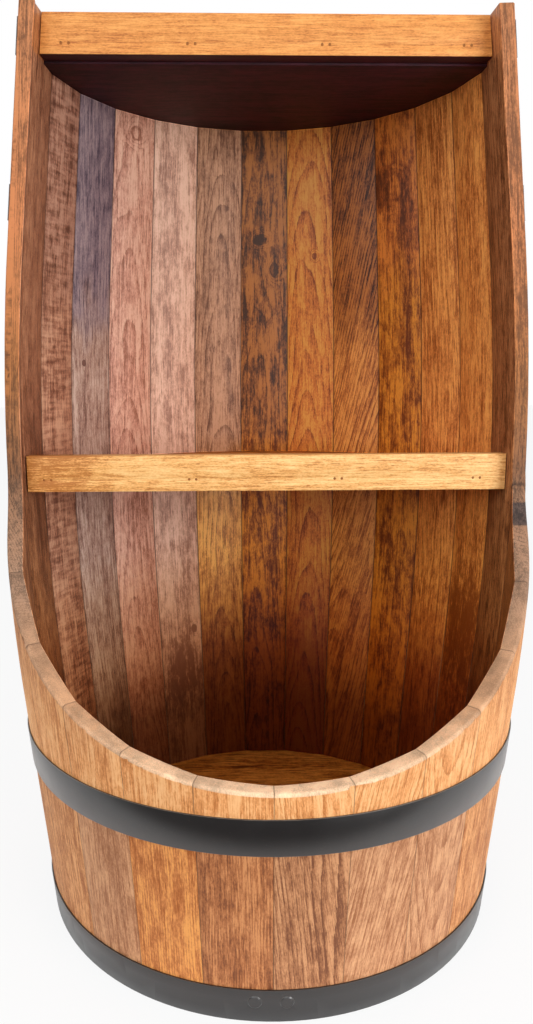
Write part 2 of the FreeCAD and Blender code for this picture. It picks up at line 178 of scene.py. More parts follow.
class Cut(Enum):
    """How a board was sawn from the log: the log's heart seen from the board's middle line, in mm."""

    FLAT = (0.0, 30.0)
    RIFT = (60.0, 70.0)
    QUARTER = (160.0, 10.0)


@dataclass(frozen=True)
class Knot:
    """A knot in a board, placed from the board's middle line and from its lower end, in mm.

    A solid knot is dark all through, and a fill of 0 leaves only its dark rim.
    """

    across: float
    along: float
    radius: float
    length: float = 1.3
    depth: float = 0.8
    swirl: float = 3.0
    fill: float = 1.0


@dataclass(frozen=True)
class Smudge:
    """A soft dark or pale patch, placed as a knot is. A positive depth is darker."""

    across: float
    along: float
    width: float
    length: float
    depth: float = 0.3


@dataclass(frozen=True)
class Figure:
    """Grain of one board. Lengths are in mm and angles in degrees.

    Growth rings are shells round the heart of the log, so a board whose heart leans through it
    shows arches, and one sawn across the rings shows straight lines.
    """

    cut: Cut = Cut.RIFT
    ring: float = 2.6
    rings: float = 0.3
    streaks: float = 0.8
    clouds: float = 0.6
    ripples: float = 0.0
    lean: float = 2.0
    slope: float = 0.0
    heart: float = 0.0
    seed: float = 0.0
    knots: tuple[Knot, ...] = ()
    smudges: tuple[Smudge, ...] = ()


@dataclass(frozen=True)
class GrainSizes:
    """Sizes of what oak's grain is made of, in mm: across the board, then along it.

    Real pores and fibres are about 0.3 mm wide, which is too fine to show, so they are drawn coarser.
    """

    pore: tuple[float, float] = (0.8, 9.0)
    fleck: tuple[float, float] = (1.3, 2.8)
    fibre: tuple[float, float] = (0.85, 22.0)
    streak: tuple[float, float] = (2.4, 50.0)
    band: tuple[float, float] = (10.0, 300.0)
    mottle: tuple[float, float] = (7.0, 15.0)
    cloud: tuple[float, float] = (24.0, 60.0)
    ripple: tuple[float, float] = (24.0, 4.5)
    warp: tuple[float, float] = (50.0, 150.0)
    warp_reach: float = 9.0
    relief: float = 0.25
    contrast: float = 1.2


@dataclass(frozen=True)
class GrainStrengths:
    """How much each part of the grain counts in its value."""

    fibre: float = 1.7
    streak: float = 1.1
    band: float = 1.0
    cloud: float = 1.6
    mottle: float = 1.6
    ripple: float = 1.6
    fleck: float = 0.7
    pore: float = 0.22
    base: float = 0.2


class WoodGrain:
    """Builds a board's grain in a material from its own board coordinates, which are in mm.

    The coordinates are the piece's attribute `board`: X across, Y into the board and Z along it.
    """

    SIZES = GrainSizes()
    STRENGTHS = GrainStrengths()

    def __init__(self, tree: bpy.types.NodeTree, figure: Figure) -> None:
        """Starts the grain.

        Args:
            tree: The material's tree.
            figure: The board's grain.
        """
        self.tree = tree
        self.figure = figure
        self.board = add_node(tree, "ShaderNodeAttribute", attribute_name="board").outputs["Vector"]
        sloped = add_node(
            tree,
            "ShaderNodeMapping",
            {"Vector": self.board, "Rotation": (0.0, math.radians(-figure.slope), 0.0)},
        )
        self.sloped = sloped.outputs["Vector"]
        shift = Vector((figure.seed * 137.0, figure.seed * 71.0, figure.seed * 311.0))
        moved = add_node(tree, "ShaderNodeVectorMath", {0: self.sloped, 1: shift}, operation="ADD")
        self.moved = moved.outputs["Vector"]
        self.fibre = self.noise(self.SIZES.fibre, 3.0, 0.7)
        self.mottle = self.noise(self.SIZES.mottle, 4.0, 0.7)
        self.knots = [self._far(knot.across, knot.along, knot.radius, knot.radius * knot.length)
                      for knot in figure.knots]

    def total(self, terms: list[tuple[bpy.types.NodeSocket, float]], start: float) -> bpy.types.NodeSocket:
        """Adds values, each times a strength.

        Args:
            terms: Each value with its strength.
            start: What the sum starts from.

        Returns:
            The sum.
        """
        total: bpy.types.NodeSocket | float = start
        for value, strength in terms:
            added = add_node(
                self.tree, "ShaderNodeMath", {0: value, 1: strength, 2: total}, operation="MULTIPLY_ADD"
            )
            total = added.outputs["Value"]
        return total

    def noise(self, size: tuple[float, float], detail: float,
              roughness: float = 0.55) -> bpy.types.NodeSocket:
        """Noise stretched along the board.

        Args:
            size: The pattern's size across and along the board, in mm.
            detail: Octaves of finer noise.
            roughness: Strength of the finer noise.

        Returns:
            The noise's value, about 0.5 on average.
        """
        scale = Vector((1 / size[0], 1 / size[0], 1 / size[1]))
        place = add_node(self.tree, "ShaderNodeVectorMath", {0: self.moved, 1: scale}, operation="MULTIPLY")
        noise = add_node(
            self.tree,
            "ShaderNodeTexNoise",
            {"Vector": place.outputs["Vector"], "Scale": 1.0, "Detail": detail, "Roughness": roughness},
        )
        return noise.outputs["Fac"]

    def _far(self, across: float, along: float, width: float, length: float) -> bpy.types.NodeSocket:
        """Distance from a place on the board, in half widths of the patch there.

        Args:
            across: The place, from the board's middle line.
            along: The place, from the board's lower end.
            width: Half width of the patch.
            length: Half length of the patch.

        Returns:
            0 at the place and about 1 on the patch's ragged rim.
        """
        apart = add_node(
            self.tree, "ShaderNodeVectorMath", {0: self.board, 1: (across, 0.0, along)}, operation="SUBTRACT"
        )
        sized = add_node(
            self.tree,
            "ShaderNodeVectorMath",
            {0: apart.outputs["Vector"], 1: (1 / width, 0.0, 1 / length)},
            operation="MULTIPLY",
        )
        far = add_node(self.tree, "ShaderNodeVectorMath", {0: sized.outputs["Vector"]}, operation="LENGTH")
        return self.total([(self.mottle, 0.9), (far.outputs["Value"], 1.0)], -0.45)

    def rings(self) -> bpy.types.NodeSocket:
        """Growth rings, each a thin line of open pores.

        Returns:
            A value that rises to 1 in each line.
        """
        figure = self.figure
        away, behind = figure.cut.value
        size = self.SIZES.warp
        scale = Vector((1 / size[0], 1 / size[0], 1 / size[1]))
        place = add_node(self.tree, "ShaderNodeVectorMath", {0: self.moved, 1: scale}, operation="MULTIPLY")
        waves = add_node(
            self.tree, "ShaderNodeTexNoise", {"Vector": place.outputs["Vector"], "Scale": 1.0, "Detail": 1.0}
        )
        centred = add_node(
            self.tree,
            "ShaderNodeVectorMath",
            {0: waves.outputs["Color"], 1: (0.5, 0.5, 0.5)},
            operation="SUBTRACT",
        )
        warped = add_node(
            self.tree,
            "ShaderNodeVectorMath",
            {0: centred.outputs["Vector"], 1: (self.SIZES.warp_reach,) * 3, 2: self.sloped},
            operation="MULTIPLY_ADD",
        )
        leaned = add_node(
            self.tree,
            "ShaderNodeMapping",
            {
                "Vector": warped.outputs["Vector"],
                "Location": Vector((-figure.heart - away, -behind, 0.0)),
                "Rotation": (math.radians(figure.lean), 0.0, 0.0),
            },
        )
        level = add_node(
            self.tree,
            "ShaderNodeVectorMath",
            {0: leaned.outputs["Vector"], 1: (1.0, 1.0, 0.0)},
            operation="MULTIPLY",
        )
        radius = add_node(self.tree, "ShaderNodeVectorMath", {0: level.outputs["Vector"]}, operation="LENGTH")
        swirls = [
            (self.step(far, 0.4, 2.6, knot.swirl, 0.0), 1.0) for far, knot in zip(self.knots, figure.knots)
        ]
        phase = self.total([(radius.outputs["Value"], 1 / figure.ring), (self.fibre, 0.25), *swirls], 0.0)
        year = add_node(self.tree, "ShaderNodeMath", {0: phase}, operation="FRACT")
        line = add_node(self.tree, "ShaderNodeMath", {0: year.outputs["Value"], 1: 3.0}, operation="POWER")
        faded = self.step(self.noise(self.SIZES.cloud, 1.0), 0.3, 0.65, 0.25, 1.25)
        shown = add_node(
            self.tree, "ShaderNodeMath", {0: line.outputs["Value"], 1: faded}, operation="MULTIPLY"
        )
        return shown.outputs["Value"]

    def plain(self) -> bpy.types.NodeSocket:
        """Grain of a sawn and sanded edge: fibres, specks and stains without growth rings.

        Returns:
            About 0 in the darkest grain and 1 in the palest.
        """
        cloud = self.noise(self.SIZES.cloud, 3.0)
        return self.total([(self.fibre, 0.9), (self.mottle, 0.5), (cloud, 1.2)], -0.8)

    def value(self) -> bpy.types.NodeSocket:
        """All of the board's grain in one value.

        Returns:
            About 0 in the darkest grain and 1 in the palest.
        """
        figure = self.figure
        sizes = self.SIZES
        share = self.STRENGTHS
        pores = self.step(self.noise(sizes.pore, 1.0), 0.56, 0.7)
        terms = [
            (self.rings(), -figure.rings),
            (self.fibre, share.fibre * figure.streaks),
            (self.noise(sizes.streak, 2.0), share.streak * figure.streaks),
            (self.noise(sizes.band, 1.0), share.band * figure.clouds),
            (self.noise(sizes.cloud, 3.0), share.cloud * figure.clouds),
            (self.mottle, share.mottle * figure.clouds),
            (self.noise(sizes.fleck, 2.0, 0.7), share.fleck),
            (pores, -share.pore),
        ]
        # Noise is about 0.5 on average, so half of each strength comes off again.
        lift = share.base + 0.25 * figure.rings
        lift -= (share.fibre + share.streak) / 2 * figure.streaks
        lift -= (share.band + share.cloud + share.mottle) / 2 * figure.clouds
        if figure.ripples > 0:
            terms.append((self.noise(sizes.ripple, 1.0), share.ripple * figure.ripples))
            lift -= share.ripple / 2 * figure.ripples
        for far, knot in zip(self.knots, figure.knots):
            terms.append((self.step(far, 0.9, 1.2, 1.0, 0.0), -knot.depth))
            terms.append((self.step(far, 0.5, 0.9, 1.0 - knot.fill, 0.0), knot.depth))
        for smudge in figure.smudges:
            far = self._far(smudge.across, smudge.along, smudge.width, smudge.length)
            terms.append((self.step(far, 0.2, 1.6, 1.0, 0.0), -smudge.depth))
        total = self.total(terms, lift)
        return self.total([(total, sizes.contrast)], 0.5 - 0.5 * sizes.contrast)

    def relief(self, grain: bpy.types.NodeSocket, strength: float) -> bpy.types.NodeSocket:
        """Open pores and raised grain.

        Args:
            grain: The board's grain value.
            strength: How rough the surface was left.

        Returns:
            The normal's socket.
        """
        bump = add_node(
            self.tree,
            "ShaderNodeBump",
            {"Height": grain, "Strength": strength, "Distance": self.SIZES.relief * MM},
        )
        return bump.outputs["Normal"]

    def blend(self, share: bpy.types.NodeSocket, low: bpy.types.NodeSocket,
              high: bpy.types.NodeSocket | tuple) -> bpy.types.NodeSocket:
        """Blends two colours.

        Args:
            share: 0 gives the first colour and 1 the second.
            low: The first colour.
            high: The second colour.

        Returns:
            The blend.
        """
        mix = add_node(self.tree, "ShaderNodeMix", {"Factor": share, "A": low, "B": high}, data_type="RGBA")
        return mix.outputs["Result"]

    def step(self, value: bpy.types.NodeSocket, start: float, stop: float,
             low: float = 0.0, high: float = 1.0) -> bpy.types.NodeSocket:
        """Smooth step.

        Args:
            value: What the step follows.
            start: Where it starts.
            stop: Where it ends.
            low: Its value before the start.
            high: Its value after the end.

        Returns:
            The step.
        """
        step = add_node(
            self.tree,
            "ShaderNodeMapRange",
            {"Value": value, "From Min": start, "From Max": stop, "To Min": low, "To Max": high},
            interpolation_type="SMOOTHSTEP",
        )
        return step.outputs["Result"]

    def both(self, first: bpy.types.NodeSocket, second: bpy.types.NodeSocket) -> bpy.types.NodeSocket:
        """Multiplies two shares."""
        product = add_node(self.tree, "ShaderNodeMath", {0: first, 1: second}, operation="MULTIPLY")
        return product.outputs["Value"]

    def tint(self, colour: bpy.types.NodeSocket, tone: bpy.types.NodeSocket) -> bpy.types.NodeSocket:
        """Multiplies a colour by a tone."""
        tinted = add_node(self.tree, "ShaderNodeVectorMath", {0: colour, 1: tone}, operation="MULTIPLY")
        return tinted.outputs["Vector"]

    def dim(self, colour: bpy.types.NodeSocket, strength: bpy.types.NodeSocket) -> bpy.types.NodeSocket:
        """Scales a colour's brightness.

        Args:
            colour: The colour.
            strength: What its brightness is multiplied by.

        Returns:
            The scaled colour.
        """
        inputs = {0: colour, "Scale": strength}
        scaled = add_node(self.tree, "ShaderNodeVectorMath", inputs, operation="SCALE")
        return scaled.outputs["Vector"]


# Tints of the inside by height, darker towards the floor: wine and damp stain together with painted shade
# behind the front lip.
WINE_STAIN_AND_SHADE = ((95.0, "#7c5030"), (175.0, "#a27652"), (240.0, "#dfc495"),
              (300.0, "#fff9d4"), (480.0, "#fffff9"))
DAMP_STAIN_AND_SHADE = ((95.0, "#956c45"), (175.0, "#d1aa76"), (240.0, "#edd4ad"),
              (300.0, "#fff9da"), (480.0, "#fffff9"))
FOOT_STAIN_AND_SHADE = ((95.0, "#a27c55"), (140.0, "#d4ad81"), (180.0, "#faddb5"),
              (260.0, "#fff1da"), (330.0, "#fffdfa"))


@dataclass(frozen=True)
class StaveWood:
    """Oak of one stave: stained and varnished inside, honey oil outside, bare where it was sawn.

    Wine, damp and painted shade behind the lip darken the inside towards the floor, a tone per height.
    A patch is dark wood between two heights of the sawn edge.
    """

    inside: Stain
    outside: Stain
    figure: Figure = field(default_factory=Figure)
    inside_above: Stain | None = None
    above: float = 600.0
    # Darker towards the floor: stain together with painted shade behind the lip.
    soaked_and_shaded: tuple[tuple[float, str], ...] = WINE_STAIN_AND_SHADE
    patch: tuple[float, float] | None = None


@dataclass(frozen=True)
class StaveFinish:
    """Dresses one oak stave of an old cask, jointed, stained inside and oiled outside.

    The same grain runs through all its faces, and each face has its tones. The stain has a low sheen,
    the oiled outside and the sawn edges are matt.
    """

    name: str
    wood: StaveWood
    lip_gold: Stain = Stain.GOLDEN
    gold_from: float = 178.0
    gold_to: float = 206.0
    gold_end: float = 330.0
    bare_from: float = 858.0
    bare: Stain = Stain.OILED_BROWN
    dark_patch: str = "#4e3d36"
    upright: tuple[float, float] = (280.0, 400.0)
    rim_turn: float = 0.36
    # How much paler the rounded inner edge of the rim is painted: a painted highlight.
    rim_painted_highlight: float = 1.5
    worn_shine: float = 1.18
    matt: float = 0.62
    varnished: float = 0.4
    ior: float = 1.38
    relief: float = 0.7
    sawn: tuple[tuple[float, str], ...] = (
        (215.0, "#fcd3ac"),
        (262.0, "#c99973"),
        (345.0, "#98765e"),
        (450.0, "#764f34"),
        (560.0, "#9c6235"),
        (690.0, "#b06d42"),
        (900.0, "#a96d45"),
    )

    def _facing(self, tree: bpy.types.NodeTree) -> bpy.types.NodeSocket:
        """How much a face looks out of the cask.

        Args:
            tree: The material's tree.

        Returns:
            1 on the outside of the cask, -1 inside and about 0 where the stave was sawn.
        """
        coordinates = add_node(tree, "ShaderNodeTexCoord")
        level = add_node(
            tree,
            "ShaderNodeVectorMath",
            {0: coordinates.outputs["Object"], 1: (1.0, 1.0, 0.0)},
            operation="MULTIPLY",
        )
        outward = add_node(tree, "ShaderNodeVectorMath", {0: level.outputs["Vector"]}, operation="NORMALIZE")
        facing = add_node(
            tree,
            "ShaderNodeVectorMath",
            {0: outward.outputs["Vector"], 1: coordinates.outputs["Normal"]},
            operation="DOT_PRODUCT",
        )
        return facing.outputs["Value"]

    def _seam(self, tree: bpy.types.NodeTree, across: bpy.types.NodeSocket) -> bpy.types.NodeSocket:
        """Distance from the nearest joint between staves, in mm.

        Args:
            tree: The material's tree.
            across: Distance from the stave's middle line.

        Returns:
            The distance.
        """
        half = add_node(tree, "ShaderNodeAttribute", attribute_name="half_width").outputs["Fac"]
        side = add_node(tree, "ShaderNodeMath", {0: across}, operation="ABSOLUTE").outputs["Value"]
        gap = add_node(tree, "ShaderNodeMath", {0: half, 1: side}, operation="SUBTRACT")
        return gap.outputs["Value"]

    def _by_height(self, grain: WoodGrain, height: bpy.types.NodeSocket,
                   tones: tuple[tuple[float, str], ...]) -> bpy.types.NodeSocket:
        """Tones that change with height.

        Args:
            grain: The stave's grain.
            height: Height above the ground, in mm.
            tones: Each height, from the lowest, with its tone.

        Returns:
            The colour.
        """
        low, high = tones[0][0], tones[-1][0]
        ragged = grain.total([(grain.mottle, 60.0), (height, 1.0)], -30.0)
        share = add_node(
            grain.tree, "ShaderNodeMapRange", {"Value": ragged, "From Min": low, "From Max": high}
        )
        ramp = add_node(grain.tree, "ShaderNodeValToRGB", {"Fac": share.outputs["Result"]})
        stops = ramp.color_ramp.elements
        stops[0].position, stops[0].color = 0.0, linear(tones[0][1])
        stops[1].position, stops[1].color = 1.0, linear(tones[-1][1])
        for place, tone in tones[1:-1]:
            stops.new((place - low) / (high - low)).color = linear(tone)
        return ramp.outputs["Color"]

    def material(self) -> bpy.types.Material:
        """Builds the stave's material.

        Returns:
            The material.
        """
        material, tree, output = new_material(self.name)
        wood = self.wood
        grain = WoodGrain(tree, wood.figure)
        value = grain.value()
        facing = self._facing(tree)
        parts = add_node(tree, "ShaderNodeSeparateXYZ", {0: grain.board})
        height = parts.outputs["Z"]
        seam = self._seam(tree, parts.outputs["X"])
        sanded = add_node(tree, "ShaderNodeAttribute", attribute_name="sanded").outputs["Fac"]
        facing = grain.both(facing, grain.step(sanded, 0.0, 1.0, 1.0, self.rim_turn))
        is_inside = grain.step(facing, -0.12, -0.3)
        is_outside = grain.step(facing, 0.3, 0.7)

        inside = wood.inside.value.colour(tree, value)
        if wood.inside_above is not None:
            ragged = grain.total([(grain.noise(grain.SIZES.cloud, 2.0), 160.0), (height, 1.0)], -80.0)
            upper = grain.step(ragged, wood.above - 50.0, wood.above + 50.0)
            inside = grain.blend(upper, inside, wood.inside_above.value.colour(tree, value))
        # Darker towards the floor: stain together with painted shade behind the lip.
        inside = grain.tint(inside, self._by_height(grain, height, wood.soaked_and_shaded))
        bare = grain.step(height, self.bare_from, self.bare_from + 2.0)
        inside = grain.blend(bare, inside, self.bare.value.colour(tree, value))
        inside = grain.dim(inside, grain.step(seam, 0.2, 1.2, 0.3, 1.0))

        below = grain.step(height, self.gold_from, self.gold_to)
        gold = grain.both(below, grain.step(height, self.gold_to, self.gold_end, 1.0, 0.0))
        outside = grain.blend(
            gold, wood.outside.value.colour(tree, value), self.lip_gold.value.colour(tree, value)
        )
        outside = grain.dim(outside, grain.step(seam, 0.1, 0.9, 0.62, 1.0))

        sawn = self._by_height(grain, height, self.sawn)
        if wood.patch is not None:
            low, high = wood.patch
            under = grain.step(height, high - 1.0, high + 1.0, 1.0, 0.0)
            within = grain.step(height, low - 1.0, low + 1.0)
            sawn = grain.blend(grain.both(under, within), sawn, linear(self.dark_patch))
        across = grain.step(grain.plain(), 0.15, 0.85, 0.6, 1.34)
        along = grain.step(value, 0.1, 0.9, 0.5, 1.5)
        upright = grain.step(height, *self.upright)
        figured = add_node(
            tree, "ShaderNodeMix", {"Factor": upright, "A": across, "B": along}, data_type="FLOAT"
        )
        sawn = grain.dim(sawn, figured.outputs["Result"])
        sawn = grain.dim(sawn, grain.step(seam, 0.1, 0.8, 0.55, 1.0))
        colour = grain.blend(is_outside, grain.blend(is_inside, sawn, inside), outside)
        worn = add_node(tree, "ShaderNodeAttribute", attribute_name="worn").outputs["Fac"]
        colour = grain.dim(colour, grain.step(worn, 0.0, 1.0, 1.0, self.worn_shine))
        # The rounded inner edge of the rim is painted paler: a painted highlight where light catches it.
        highlit_inner_rim = grain.both(sanded, grain.step(facing, 0.0, -0.15))
        colour = grain.dim(colour, grain.step(highlit_inner_rim, 0.0, 1.0, 1.0, self.rim_painted_highlight))
        shader = add_node(
            tree,
            "ShaderNodeBsdfPrincipled",
            {
                "Base Color": colour,
                "Roughness": grain.step(is_inside, 0.0, 1.0, self.matt, self.varnished),
                "IOR": self.ior,
                "Normal": grain.relief(value, self.relief),
            },
        )
        tree.links.new(shader.outputs["BSDF"], output.inputs["Surface"])
        return material


@dataclass(frozen=True)
class BoardFinish:
    """Planed and oiled board: pine rails, and oak for shelf, top board and floor.

    Planing leaves it smooth, and oil gives it a soft sheen. The top board is nearly black.
    """

    name: str
    tones: Tones
    figure: Figure
    # Tones of the faces that look down: painted shade on the rails' undersides.
    under: Tones | None = None
    roughness: float = 0.5
    ior: float = 1.4
    relief: float = 0.5

    def material(self) -> bpy.types.Material:
        """Builds the board's material.

        Returns:
            The material.
        """
        material, tree, output = new_material(self.name)
        grain = WoodGrain(tree, self.figure)
        value = grain.value()
        colour = self.tones.colour(tree, value)
        # Faces that look down take the under tones: painted shade.
        if self.under is not None:
            normal = add_node(tree, "ShaderNodeTexCoord").outputs["Normal"]
            up = add_node(tree, "ShaderNodeSeparateXYZ", {0: normal}).outputs["Z"]
            colour = grain.blend(grain.step(up, -0.5, -0.8), colour, self.under.colour(tree, value))
        shader = add_node(
            tree,
            "ShaderNodeBsdfPrincipled",
            {
                "Base Color": colour,
                "Roughness": self.roughness,
                "IOR": self.ior,
                "Normal": grain.relief(value, self.relief),
            },
        )
        tree.links.new(shader.outputs["BSDF"], output.inputs["Surface"])
        return material


# --- steel -----------------------------------------------------------------------------------------


@dataclass(frozen=True)
class SteelFinish:
    """Rolled mild steel under satin black paint, rubbed paler along its edges.

    Such paint is nearly black where it faces the dim front and mirrors pale walls at the sides.
    Its mottle and scuffs are sizes in mm.
    """

    name: str
    paint: str = "#151111"
    rubbed: str = "#7d756c"
    roughness: float = 0.34
    coat: float = 1.0
    mottle: float = 26.0
    scuff: float = 3.0

    def material(self) -> bpy.types.Material:
        """Builds the paint's material.

        Returns:
            The material.
        """
        material, tree, output = new_material(self.name)
        coordinates = add_node(tree, "ShaderNodeTexCoord")
        cloud = add_node(
            tree,
            "ShaderNodeTexNoise",
            {"Vector": coordinates.outputs["Object"], "Scale": 1 / (self.mottle * MM), "Detail": 4.0},
        )
        stretched = add_node(
            tree,
            "ShaderNodeVectorMath",
            {0: coordinates.outputs["Object"], 1: (1.0, 1.0, 6.0)},
            operation="MULTIPLY",
        )
        scuffs = add_node(
            tree,
            "ShaderNodeTexNoise",
            {"Vector": stretched.outputs["Vector"], "Scale": 1 / (self.scuff * MM), "Detail": 5.0},
        )
        marks = add_node(
            tree,
            "ShaderNodeMapRange",
            {"Value": scuffs.outputs["Fac"], "From Min": 0.62, "From Max": 0.85, "To Max": 0.3},
        )
        worn = add_node(tree, "ShaderNodeAttribute", attribute_name="worn")
        edges = add_node(
            tree,
            "ShaderNodeMath",
            {0: worn.outputs["Fac"], 1: scuffs.outputs["Fac"], 2: marks.outputs["Result"]},
            operation="MULTIPLY_ADD",
        )
        colour = add_node(
            tree,
            "ShaderNodeMix",
            {"Factor": edges.outputs["Value"], "A": linear(self.paint), "B": linear(self.rubbed)},
            data_type="RGBA",
        )
        rough = add_node(
            tree,
            "ShaderNodeMapRange",
            {
                "Value": cloud.outputs["Fac"],
                "From Min": 0.3,
                "From Max": 0.7,
                "To Min": self.roughness - 0.05,
                "To Max": self.roughness + 0.07,
            },
        )
        bump = add_node(
            tree,
            "ShaderNodeBump",
            {"Height": scuffs.outputs["Fac"], "Strength": 0.12, "Distance": 0.1 * MM},
        )
        shader = add_node(
            tree,
            "ShaderNodeBsdfPrincipled",
            {
                "Base Color": colour.outputs["Result"],
                "IOR": 1.5,
                "Roughness": rough.outputs["Result"],
                "Coat Weight": self.coat,
                "Coat Roughness": self.roughness - 0.06,
                "Normal": bump.outputs["Normal"],
            },
        )
        tree.links.new(shader.outputs["BSDF"], output.inputs["Surface"])
        return material


# --- pieces ----------------------------------------------------------------------------------------


def merged_copy(node: str) -> bmesh.types.BMesh:
    """Copies a CAD node's mesh and joins its loose triangles into clean faces.

    Args:
        node: The CAD node's name.

    Returns:
        The copy.
    """
    shape = bmesh.new()
    shape.from_mesh(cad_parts[node].data)
    bmesh.ops.remove_doubles(shape, verts=shape.verts, dist=MERGE * MM)
    bmesh.ops.dissolve_limit(
        shape, angle_limit=FLAT, use_dissolve_boundaries=False, verts=shape.verts, edges=shape.edges
    )
    return shape


def ease_edges(shape: bmesh.types.BMesh, width: float, edges: list[bmesh.types.BMEdge] | None = None,
               mark: str = "worn", segments: int = 2, is_clamped: bool = True) -> None:
    """Rounds a shape's sharp edges and marks the rounding.

    Args:
        shape: The shape.
        width: How far the rounding reaches on each face, in metres.
        edges: The edges, or every sharp one.
        mark: The attribute that marks the rounding.
        segments: How many faces round an edge.
        is_clamped: Whether the rounding stops where it meets another.
    """
    layer = shape.faces.layers.float.get(mark) or shape.faces.layers.float.new(mark)
    if edges is None:
        edges = [edge for edge in shape.edges if edge.is_manifold and edge.calc_face_angle() > SHARP]
    rounded = bmesh.ops.bevel(
        shape,
        geom=edges,
        offset=width,
        offset_type="OFFSET",
        segments=segments,
        profile=0.5,
        affect="EDGES",
        material=-1,
        clamp_overlap=is_clamped,
    )
    for face in rounded["faces"]:
        face[layer] = 1.0


def new_piece(name: str, shape: bmesh.types.BMesh, node: str,
              material: bpy.types.Material) -> bpy.types.Object:
    """Makes a piece that stands for a CAD node.

    Args:
        name: The piece's name.
        shape: Its shape, which is freed.
        node: The CAD node.
        material: Its finish.

    Returns:
        The piece.
    """
    mesh = bpy.data.meshes.new(name)
    shape.to_mesh(mesh)
    shape.free()
    for layer in [item for item in mesh.attributes if item.name == "custom_normal"]:
        mesh.attributes.remove(layer)
    mesh.materials.clear()
    mesh.materials.append(material)
    for face in mesh.polygons:
        face.use_smooth = True
    mesh.set_sharp_from_angle(angle=SMOOTH)
    piece = bpy.data.objects.new(name, mesh)
    bpy.context.scene.collection.objects.link(piece)
    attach(piece, "root")
    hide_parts(node)
    return piece


def write_board(piece: bpy.types.Object, places: list[Vector]) -> None:
    """Gives a piece its board coordinates.

    Args:
        piece: The piece.
        places: Across, into and along the board for each vertex, in mm.
    """
    layer = piece.data.attributes.new("board", "FLOAT_VECTOR", "POINT")
    for item, place in zip(layer.data, places):
        item.vector = place


class Side(Enum):
    """Which side of a stave a face belongs to."""

    OUTSIDE = "outside"
    INSIDE = "inside"
    JOINT = "joint"
    END = "end"
    SAWN = "sawn"


